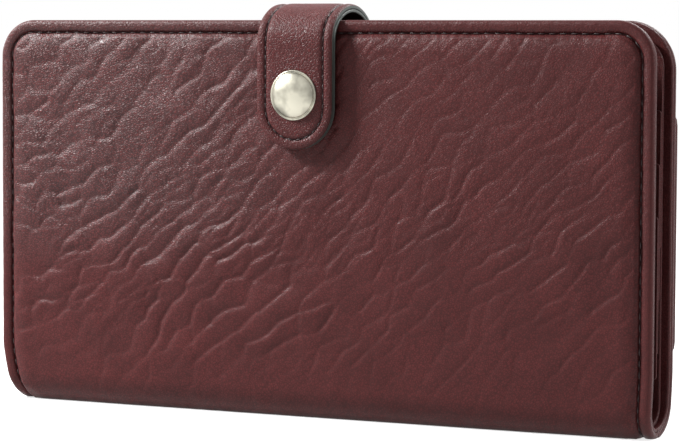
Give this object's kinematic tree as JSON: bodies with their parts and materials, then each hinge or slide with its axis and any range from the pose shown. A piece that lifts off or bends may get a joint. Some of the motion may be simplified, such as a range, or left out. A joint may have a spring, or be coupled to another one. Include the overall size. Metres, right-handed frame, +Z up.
{
  "type": "coupon organizer wallet",
  "caption": "Long folding leather wallet with a snap tab, card slots, identity window, zip coin pocket and tabbed coupon dividers that fan open.",
  "frame": {"origin": "middle of the flat that the fold stands on", "axes": "+X along the wallet to the right as seen from the front, +Y from the front cover to the back cover, +Z up from the fold to the open top edge"},
  "size_m": [0.184, 0.0278, 0.107],
  "materials": {
    "outer_leather": "shrunken grain, satin",
    "tab_leather": "fine grain, satin",
    "tab_backing": "split leather, matt, painted edge",
    "inner_leather": "smooth, satin",
    "slot_leather": "fine grain, satin",
    "padding": "thin foam",
    "board": "pressed board",
    "lining": "plain woven",
    "clear_film": "clear soft film",
    "divider_sheet": "matt card",
    "zip_tape": "woven tape",
    "zip_metal": "nickel plated",
    "nickel": "brushed antique nickel"
  },
  "bodies": {
    "spine": {"spine_leather": "outer_leather", "spine_padding": "padding", "spine_lining": "lining", "inner_fold": "inner_leather", "divider_binding": "inner_leather"},
    "front_cover": {"front_leather": "outer_leather", "front_foam": "padding", "front_board": "board", "front_lining": "lining", "front_inner_panel": "inner_leather", "front_card_slots_left": "slot_leather", "front_card_slots_right": "slot_leather", "snap_stud": "nickel", "snap_stud_rivet": "nickel"},
    "back_cover": {"back_leather": "outer_leather", "back_foam": "padding", "back_board": "board", "back_lining": "lining", "back_inner_panel": "inner_leather", "back_card_slots": "slot_leather", "id_window_frame": "slot_leather", "id_window_film": "clear_film", "coin_pocket_panel": "outer_leather", "zip_tape_upper": "zip_tape", "zip_tape_lower": "zip_tape", "zip_teeth_upper": "zip_metal", "zip_teeth_lower": "zip_metal", "tab_root_leather": "tab_leather", "tab_root_backing": "tab_backing"},
    "snap_tab": {"tab_leather": "tab_leather", "tab_backing": "tab_backing", "snap_cap": "nickel", "snap_socket": "nickel"},
    "zip_slider": {"zip_slider": "zip_metal"},
    "zip_pull": {"zip_pull": "zip_metal"},
    "divider_1": {"divider_1": "divider_sheet"},
    "divider_2": {"divider_2": "divider_sheet"},
    "divider_3": {"divider_3": "divider_sheet"},
    "divider_4": {"divider_4": "divider_sheet"},
    "divider_5": {"divider_5": "divider_sheet"}
  },
  "joints": [
    {"name": "front_cover_open", "type": "hinge", "parent": "spine", "child": "front_cover", "pos_m": [0, -0.00601, 0.00199], "axis": [1, 0, 0], "range_deg": [0, 85]},
    {"name": "back_cover_open", "type": "hinge", "parent": "spine", "child": "back_cover", "pos_m": [0, 0.00601, 0.00199], "axis": [-1, 0, 0], "range_deg": [0, 85]},
    {"name": "tab_open", "type": "hinge", "parent": "back_cover", "child": "snap_tab", "pos_m": [-0.0023, 0, 0.107], "axis": [-1, 0, 0], "range_deg": [0, 150]},
    {"name": "zip_slide", "type": "slide", "parent": "back_cover", "child": "zip_slider", "axis": [1, 0, 0], "range_m": [0, 0.1365]},
    {"name": "zip_pull_swing", "type": "hinge", "parent": "zip_slider", "child": "zip_pull", "pos_m": [-0.06825, 0.0119, 0.0715], "axis": [1, 0, 0], "range_deg": [0, 170]},
    {"name": "divider_1_turn", "type": "hinge", "parent": "spine", "child": "divider_1", "pos_m": [0, -0.00104, 0.0058], "axis": [1, 0, 0], "range_deg": [0, 80]},
    {"name": "divider_2_turn", "type": "hinge", "parent": "spine", "child": "divider_2", "pos_m": [0, -0.00052, 0.0063], "axis": [1, 0, 0], "range_deg": [0, 74.1]},
    {"name": "divider_3_turn", "type": "hinge", "parent": "spine", "child": "divider_3", "pos_m": [0, 0, 0.0068], "axis": [1, 0, 0], "range_deg": [0, 68.1]},
    {"name": "divider_4_turn", "type": "hinge", "parent": "spine", "child": "divider_4", "pos_m": [0, 0.00052, 0.0073], "axis": [1, 0, 0], "range_deg": [0, 62.2]},
    {"name": "divider_5_turn", "type": "hinge", "parent": "spine", "child": "divider_5", "pos_m": [0, 0.00104, 0.0078], "axis": [1, 0, 0], "range_deg": [0, 56.2]}
  ],
  "couplings": [
    {"joint": "back_cover_open", "follows": "front_cover_open", "ratio": 1},
    {"joint": "divider_1_turn", "follows": "front_cover_open", "ratio": 0.94},
    {"joint": "divider_2_turn", "follows": "front_cover_open", "ratio": 0.87},
    {"joint": "divider_3_turn", "follows": "front_cover_open", "ratio": 0.8},
    {"joint": "divider_4_turn", "follows": "front_cover_open", "ratio": 0.73},
    {"joint": "divider_5_turn", "follows": "front_cover_open", "ratio": 0.66}
  ]
}
